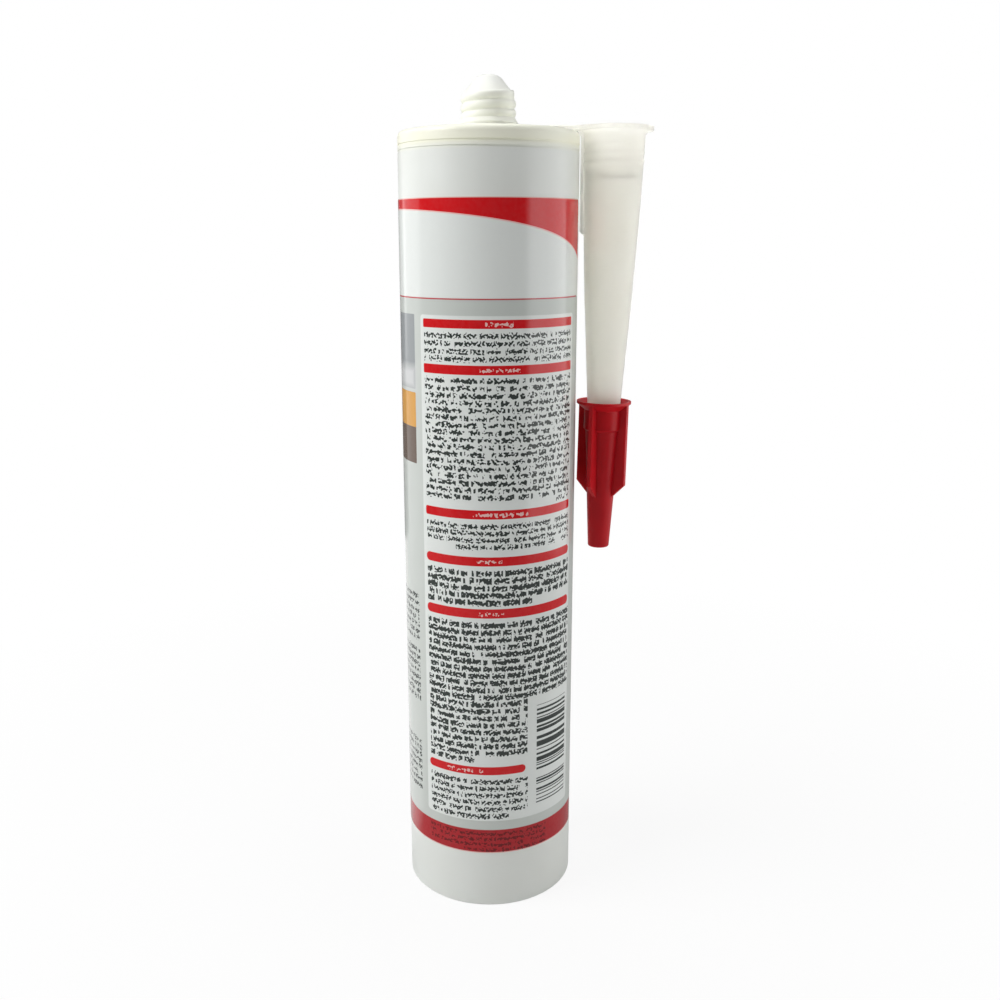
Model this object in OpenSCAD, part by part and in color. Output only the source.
// Sealant cartridge for a skeleton gun: a moulded tube with a closed threaded neck,
// a plunger behind the paste, and a capped nozzle that hangs beside the tube by a flat hanger.
// The tube stands on its open end. Its axis is Z, and z = 0 is the open rim.

/* [Cartridge] */
// Outside diameter of the tube
tube_od = 49.6; // [44:0.1:60]
// Wall of the tube
tube_wall = 1.4; // [0.8:0.1:2.2]
// Height of the flat shoulder above the open rim
shoulder_z = 220.6; // [150:0.1:320]
// Thickness of the head under the shoulder
head_wall = 2.2; // [1.2:0.1:4]
// Radius of the shoulder's outer corner
corner_r = 1.5; // [0.5:0.1:4]
// Depth of the parting grooves that run round under the shoulder
groove_depth = 0.2; // [0.1:0.05:0.6]
// Height of a parting groove
groove_h = 0.6; // [0.4:0.1:1.2]
// Distance from the shoulder down to the foot of the upper groove
groove_drop = 4.1; // [3:0.1:8]
// Distance from one groove to the next
groove_pitch = 1.5; // [1.3:0.1:3]
// Number of parting grooves
groove_count = 2; // [1:1:4]
// Depth of the lead-in at the open end, where the plunger is pushed in
lead_in_h = 3; // [1:0.5:8]
// How much the lead-in widens the bore on each side
lead_in_w = 0.4; // [0.1:0.1:0.6]

/* [Neck] */
// Root radius of the neck, between the turns of its thread
neck_r = 7; // [5:0.1:9]
// Wall of the neck
neck_wall = 1.5; // [1:0.1:2.5]
// Width that the plain collar at the neck's foot stands out
collar_w = 1.05; // [0.5:0.05:2]
// Height of the plain collar above the shoulder
collar_h = 2.3; // [1.8:0.1:4]
// Height of the taper from the collar to the neck
collar_taper_h = 1.6; // [0.5:0.1:3]
// Length of the straight threaded stretch
thread_len = 5.8; // [4:0.1:14]
// Height of the cone that closes the neck
tip_cone_h = 4.2; // [2:0.1:8]
// Radius of the cone at its blunt end
tip_r = 3.45; // [2:0.05:5]
// Height of the dome on the blunt end
tip_dome_h = 1.05; // [0.4:0.05:1.9]

/* [Label] */
// Thickness of the film
label_t = 0.12; // [0.08:0.01:0.3]
// Height of the label's lower edge above the open rim
label_z = 17.3; // [5:0.1:40]
// Distance from the shoulder down to the label's upper edge
label_drop = 17.7; // [8:0.1:60]
// Width of the bare strip between the label's two ends
label_seam = 10.4; // [2:0.1:20]
// Radius of the label's corners
label_corner = 1.5; // [0.5:0.1:4]

/* [Plunger] */
// Height of the plunger's rear rim above the open rim
plunger_z = 14; // [6:0.5:40]
// Length of the plunger
plunger_len = 20; // [18:0.5:30]
// Wall of the plunger's skirt and front
plunger_wall = 1.8; // [1:0.1:3]
// Gap between the wiper lips and the bore
wiper_gap = 0.15; // [0.05:0.05:0.4]
// Depth of the relief between the two wiper lips
wiper_relief = 0.9; // [0.4:0.1:2]
// Number of ribs inside the plunger
rib_count = 8; // [4:1:12]
// Thickness of the ribs
rib_t = 1.2; // [0.8:0.1:2]
// Distance from the rear rim in to the ribs, where a push plate bears
rib_inset = 14; // [4:0.5:16]
// Outer radius of the ring that joins the ribs
hub_r = 8; // [5:0.5:12]

/* [Paste] */
// Gap between the paste and what holds it
fill_gap = 0.3; // [0.1:0.1:0.6]

/* [Nozzle] */
// Length of the nozzle from its flange to its tip
nozzle_len = 117; // [80:0.5:160]
// Gap between the label and what hangs nearest to it
hang_gap = 0.3; // [0.1:0.05:2]
// Angle by which the nozzle leans in towards the tube
lean = 1; // [0:0.05:2]
// Wall of the socket at the flange
socket_wall = 0.9; // [0.6:0.05:1.5]
// Length of the stretch that screws onto the neck
socket_len = 13; // [9:0.5:20]
// Gap between the neck's thread and the socket
socket_gap = 0.15; // [0.05:0.05:0.5]
// How far the thread stands out from the neck
thread_h = 0.45; // [0.2:0.05:0.8]
// Length of the thick upper stretch
shank_len = 19; // [15:0.5:30]
// How much the thick upper stretch narrows over its length
shank_taper = 0.54; // [0:0.02:0.6]
// Distance from the flange to the point where the taper steepens
waist_len = 46.5; // [30:0.5:70]
// Outside radius at that point
waist_r = 6.6; // [4:0.1:9]
// Outside radius at the tip
nozzle_tip_r = 2.1; // [1.6:0.1:3.5]
// Wall of the tapered stretch
nozzle_wall = 1; // [0.6:0.1:1.5]

/* [Hanger] */
// Thickness of the flat hanger and of the nozzle's flange
hanger_t = 1.1; // [0.6:0.1:2]
// Width that the flange stands out from the socket
flange_w = 2.1; // [1.2:0.1:4]
// Width of the ring round the neck
ring_w = 2.6; // [1.5:0.1:5]
// Gap between the ring and the neck's collar
ring_gap = 0.35; // [0.2:0.05:1]
// Gap between the hanger and the shoulder
seat_gap = 0.3; // [0.1:0.05:1]
// Radius of the two hollows that waist the hanger
hanger_hollow_r = 15; // [9:0.5:40]
// Thickness of the rib that leans on the tube
strut_t = 1.2; // [0.8:0.1:2]
// Distance from the shoulder down to the rib's foot
strut_drop = 27.3; // [10:0.1:40]
// Size of the chamfer at the rib's foot
strut_chamfer = 1.1; // [0.5:0.1:3]
// Gap between the rib and the label
strut_gap = 0.3; // [0.1:0.05:1]

/* [Cap] */
// Length of the cap
cap_len = 43.3; // [25:0.1:60]
// Wall of the cap at its mouth and just below its collar
cap_wall = 0.64; // [0.4:0.02:1.2]
// Wall of the cap at its tip
cap_tip_wall = 0.88; // [0.5:0.02:1.5]
// Width that the flared mouth stands out from the collar
cap_flare_w = 2.25; // [1:0.05:4]
// Height of the flared mouth
cap_flare_h = 2.5; // [1.5:0.1:5]
// Thickness of the flare's rim
cap_lip = 0.7; // [0.4:0.1:1.5]
// Distance from the mouth to the foot of the collar
cap_collar_h = 8.6; // [4:0.1:15]
// Rounding of the closed end
cap_end_round = 0.5; // [0.2:0.1:1]
// Thickness of the closed end
cap_end_wall = 1; // [0.6:0.1:2]
// Gap between the cap and the nozzle
cap_gap = 0.12; // [0.05:0.01:0.3]
// Number of wings
wing_count = 4; // [2:1:6]
// Width that the wings stand out from the collar
wing_w = 2.15; // [1:0.05:4]
// Thickness of a wing
wing_t = 1.2; // [0.8:0.1:2]
// Distance from the mouth to the foot of the wings
wing_len = 28.7; // [12:0.1:36]
// Turn of the wings about the nozzle's axis
wing_turn = 33; // [0:1:90]

/* [Hidden] */
$fn = 96;
eps = 0.01;
tube_r = tube_od / 2;
bore_r = tube_r - tube_wall;
head_z = shoulder_z - head_wall;
inner_corner_r = max(corner_r - tube_wall / 2, 0.3);
rim_chamfer = tube_wall / 4;
label_r = tube_r + label_t;
label_h = shoulder_z - label_drop - label_z;

collar_r = neck_r + collar_w;
neck_z = shoulder_z + collar_h + collar_taper_h;
cone_z = neck_z + thread_len;
neck_bore_r = neck_r - neck_wall;
neck_bore_tip_r = tip_r - neck_wall / 2;
tip_z = cone_z + tip_cone_h;
tip_dome_r = (tip_r ^ 2 + tip_dome_h ^ 2) / (2 * tip_dome_h);

plunger_front_z = plunger_z + plunger_len;
lip_r = bore_r - wiper_gap;
skirt_r = lip_r - wiper_relief;
cup_r = skirt_r - plunger_wall;
lip_h = 3.2;
lip_chamfer = 0.6;
front_bevel = wiper_relief + 1.3;
cup_corner = 1;
cup_lead_w = 0.8;
cup_lead_h = 2 * cup_lead_w;
rib_h = plunger_len - plunger_wall - rib_inset + eps;

thread_crest_r = neck_r + thread_h;
socket_bore_r = thread_crest_r + socket_gap;
socket_r = socket_bore_r + socket_wall;
shank_r = socket_r - shank_taper;
flange_r = socket_r + flange_w;
hang_z = shoulder_z + seat_gap + hanger_t;
nozzle_step = [[0, socket_r], [shank_len, shank_r], [waist_len, waist_r], [nozzle_len, nozzle_tip_r]];
mouth_r = nozzle_tip_r - nozzle_wall;
passage_step = concat([for (s = nozzle_step) [s[0], s[1] - nozzle_wall]], [[nozzle_len + 2, mouth_r]]);
flange_fillet = 0.9;
fillet_r = socket_r + flange_fillet;

cap_drop = nozzle_len - (cap_len - cap_end_wall - cap_gap);
cap_collar_r = nozzle_r(cap_drop) + cap_gap + cap_wall;
cap_body_r = nozzle_r(cap_drop + cap_collar_h) + cap_gap + cap_wall;
collar_chamfer = cap_collar_r - cap_body_r;
cap_end_r = nozzle_tip_r + cap_gap + cap_tip_wall;
cap_flare_r = cap_collar_r + cap_flare_w;
wing_r = cap_collar_r + wing_w;
wing_turns = [for (i = [0:wing_count - 1]) i * 360 / wing_count - wing_turn];
wing_reach = wing_r * max([for (a = wing_turns) -cos(a)]) + (cap_drop + wing_len) * sin(lean);
flare_reach = cap_flare_r + cap_drop * sin(lean);
hang_x = label_r + hang_gap + max(wing_reach, flare_reach, socket_r);

hanger_bore_r = collar_r + ring_gap;
ring_r = hanger_bore_r + ring_w;
hollow_x = (hang_x ^ 2 + (ring_r + hanger_hollow_r) ^ 2 - (flange_r + hanger_hollow_r) ^ 2) / (2 * hang_x);
hollow_y = sqrt((ring_r + hanger_hollow_r) ^ 2 - hollow_x ^ 2);
hollow_bite = 0.05;
strut_x = label_r + strut_gap;
strut_z = shoulder_z - strut_drop;
strut_end = hang_x - waist_r / 2;
strut_foot = strut_z + strut_chamfer;
strut_head = shoulder_z - corner_r * 2 / 3;
strut_reach = strut_x - corner_r * 7 / 8;

// Outside radius of the nozzle at a distance below its flange
function nozzle_r(d) = lookup(d, nozzle_step);
// Outline of a list of [distance, radius] steps, from a first distance down to the last
function taper_points(steps, first) = concat(
    [[lookup(first, steps), -first]],
    [for (s = steps) if (s[0] > first) [s[1], -s[0]]],
    [[0, -steps[len(steps) - 1][0]]]
);

// Half profile of a can with one rounded top corner
module can_profile(r, h, corner) {
    square([r - corner, h]);
    square([r, h - corner]);
    translate([r - corner, h - corner]) circle(corner);
}

// Half profile of a neck: collar, taper, straight stretch, cone and domed end
module neck_profile() {
    polygon([
        [0, head_z], [collar_r, head_z], [collar_r, shoulder_z + collar_h], [neck_r, neck_z],
        [neck_r, cone_z], [tip_r, tip_z], [0, tip_z]
    ]);
    intersection() {
        translate([0, tip_z + tip_dome_h - tip_dome_r]) circle(tip_dome_r);
        translate([0, tip_z - eps]) square([tip_r, tip_dome_h + 1]);
    }
}

// Half profile of the space inside the neck
module neck_bore_profile(gap = 0) {
    polygon([
        [0, head_z - inner_corner_r], [neck_bore_r - gap, head_z - inner_corner_r],
        [neck_bore_r - gap, cone_z - gap], [neck_bore_tip_r - gap, tip_z - neck_wall / 2 - gap],
        [0, tip_z - neck_wall / 2 - gap]
    ]);
}

module cartridge() {
    color("white")
    rotate_extrude()
    difference() {
        union() {
            can_profile(tube_r, shoulder_z, corner_r);
            neck_profile();
        }
        translate([0, -eps]) can_profile(bore_r, head_z + eps, inner_corner_r);
        neck_bore_profile();
        polygon([
            [0, -eps], [bore_r + lead_in_w, -eps], [bore_r + lead_in_w, 0],
            [bore_r, lead_in_h], [0, lead_in_h]
        ]);
        polygon([[tube_r - rim_chamfer, 0], [tube_r + eps, rim_chamfer + eps], [tube_r + eps, -eps]]);
        for (i = [0:groove_count - 1])
            translate([tube_r - groove_depth, shoulder_z - groove_drop - i * groove_pitch])
                square([tube_wall, groove_h]);
    }
}

// Spandrel that rounds one corner of the label
module label_corner_cut(side, rise) {
    difference() {
        translate([side > 0 ? -eps : -label_corner, rise > 0 ? -eps : -label_corner])
            square(label_corner + eps);
        translate([side * label_corner, rise * label_corner]) circle(label_corner);
    }
}

// Bare strip between the label's ends, with its four rounded corners
module label_window() {
    translate([-label_seam / 2, label_z - 1]) square([label_seam, label_h + 2]);
    for (side = [-1, 1], end = [0, 1])
        translate([side * label_seam / 2, label_z + end * label_h])
            label_corner_cut(side, 1 - 2 * end);
}

module label() {
    color("firebrick")
    difference() {
        translate([0, 0, label_z])
        rotate_extrude()
            translate([tube_r, 0]) square([label_t, label_h]);
        rotate([90, 0, 90])
            linear_extrude(height = label_r + 1) label_window();
    }
}

// Half profile of the plunger: a cup with two wiper lips
module plunger_profile() {
    difference() {
        polygon([
            [0, plunger_len], [lip_r - front_bevel, plunger_len], [lip_r, plunger_len - front_bevel],
            [lip_r, plunger_len - lip_h], [skirt_r, plunger_len - lip_h - wiper_relief],
            [skirt_r, lip_h + wiper_relief], [lip_r, lip_h], [lip_r, lip_chamfer], [lip_r - lip_chamfer, 0],
            [0, 0]
        ]);
        can_profile(cup_r, plunger_len - plunger_wall, cup_corner);
        polygon([[0, -eps], [cup_r + cup_lead_w, -eps], [cup_r, cup_lead_h], [0, cup_lead_h]]);
    }
}

module plunger() {
    color("ivory")
    translate([0, 0, plunger_z]) {
        rotate_extrude() {
            plunger_profile();
            translate([hub_r - rib_t, rib_inset]) square([rib_t, rib_h]);
        }
        for (i = [0:rib_count - 1])
            rotate([0, 0, i * 360 / rib_count])
                translate([hub_r - rib_t / 2, -rib_t / 2, rib_inset])
                    cube([cup_r - hub_r + rib_t, rib_t, rib_h]);
    }
}

module sealant() {
    color("gainsboro")
    rotate_extrude() {
        translate([0, plunger_front_z + fill_gap])
            can_profile(bore_r - fill_gap, head_z - plunger_front_z - 2 * fill_gap, inner_corner_r);
        neck_bore_profile(fill_gap);
    }
}

// Puts a shape, drawn down from the flange's top, on the hanging nozzle's axis
module on_nozzle_axis() {
    translate([hang_x, 0, hang_z]) rotate([0, lean, 0]) children();
}

// Outline of the flat hanger: the flange, the ring and the waisted web between them
module hanger_outline() {
    circle(ring_r);
    translate([hang_x, 0]) circle(flange_r);
    difference() {
        polygon([[0, 0], [hollow_x, hollow_y], [hang_x, 0], [hollow_x, -hollow_y]]);
        for (side = [-1, 1])
            translate([hollow_x, side * hollow_y]) circle(hanger_hollow_r + hollow_bite);
    }
}

// Rib beside the tube, from the hanger down to its chamfered foot. Its head reaches in over
// the shoulder's corner.
module strut() {
    rotate([90, 0, 0])
        linear_extrude(height = strut_t, center = true)
            polygon([
                [strut_reach, hang_z - hanger_t / 2], [strut_end, hang_z - hanger_t / 2],
                [strut_end, strut_z], [strut_x + strut_chamfer, strut_z], [strut_x, strut_foot],
                [strut_x, strut_head]
            ]);
}

module nozzle() {
    color("mintcream")
    difference() {
        union() {
            translate([0, 0, hang_z - hanger_t])
                linear_extrude(height = hanger_t) hanger_outline();
            strut();
            on_nozzle_axis()
                rotate_extrude()
                    polygon(concat(
                        [[0, -hanger_t / 2], [fillet_r, -hanger_t / 2], [fillet_r, -hanger_t]],
                        taper_points(nozzle_step, hanger_t + flange_fillet)
                    ));
        }
        on_nozzle_axis() {
            translate([0, 0, -socket_len]) cylinder(r = socket_bore_r, h = socket_len + 2);
            rotate_extrude()
                polygon(concat([[0, 1 - socket_len]], taper_points(passage_step, socket_len - 1)));
        }
        translate([0, 0, shoulder_z]) cylinder(r = hanger_bore_r, h = hang_z);
    }
}

// Outside half profile of the cap, drawn down from its mouth
module cap_profile() {
    polygon([
        [0, 0], [cap_flare_r, 0], [cap_flare_r, -cap_lip], [cap_collar_r, -cap_flare_h],
        [cap_collar_r, -cap_collar_h + collar_chamfer], [cap_body_r, -cap_collar_h],
        [cap_end_r, -cap_len + cap_end_round], [0, -cap_len + cap_end_round]
    ]);
    translate([0, -cap_len]) square([cap_end_r - cap_end_round, cap_end_round + eps]);
    translate([cap_end_r - cap_end_round, -cap_len + cap_end_round]) circle(cap_end_round);
}

// Inside half profile of the cap: a funnel, then the nozzle's own taper and a gap
module cap_bore_profile() {
    nozzle_end = nozzle_len - cap_drop;
    bore_top_r = nozzle_r(cap_drop) + cap_gap;
    polygon([
        [0, eps], [cap_flare_r - cap_lip, eps], [cap_flare_r - cap_lip, 0], [bore_top_r, -cap_flare_h + cap_lip],
        [nozzle_tip_r + cap_gap, -nozzle_end - cap_gap], [0, -nozzle_end - cap_gap]
    ]);
}

// One wing, from under the flare to its slanted foot
module wing() {
    rotate([90, 0, 0])
        linear_extrude(height = wing_t, center = true)
            polygon([
                [cap_end_r, -cap_lip], [wing_r, -cap_lip], [wing_r, -wing_len + (wing_r - cap_end_r)],
                [cap_end_r, -wing_len]
            ]);
}

module nozzle_cap() {
    color("red")
    on_nozzle_axis()
        translate([0, 0, -cap_drop])
            difference() {
                union() {
                    rotate_extrude() cap_profile();
                    for (a = wing_turns)
                        rotate([0, 0, a]) wing();
                }
                rotate_extrude() cap_bore_profile();
            }
}

cartridge();
label();
plunger();
sealant();
nozzle();
nozzle_cap();
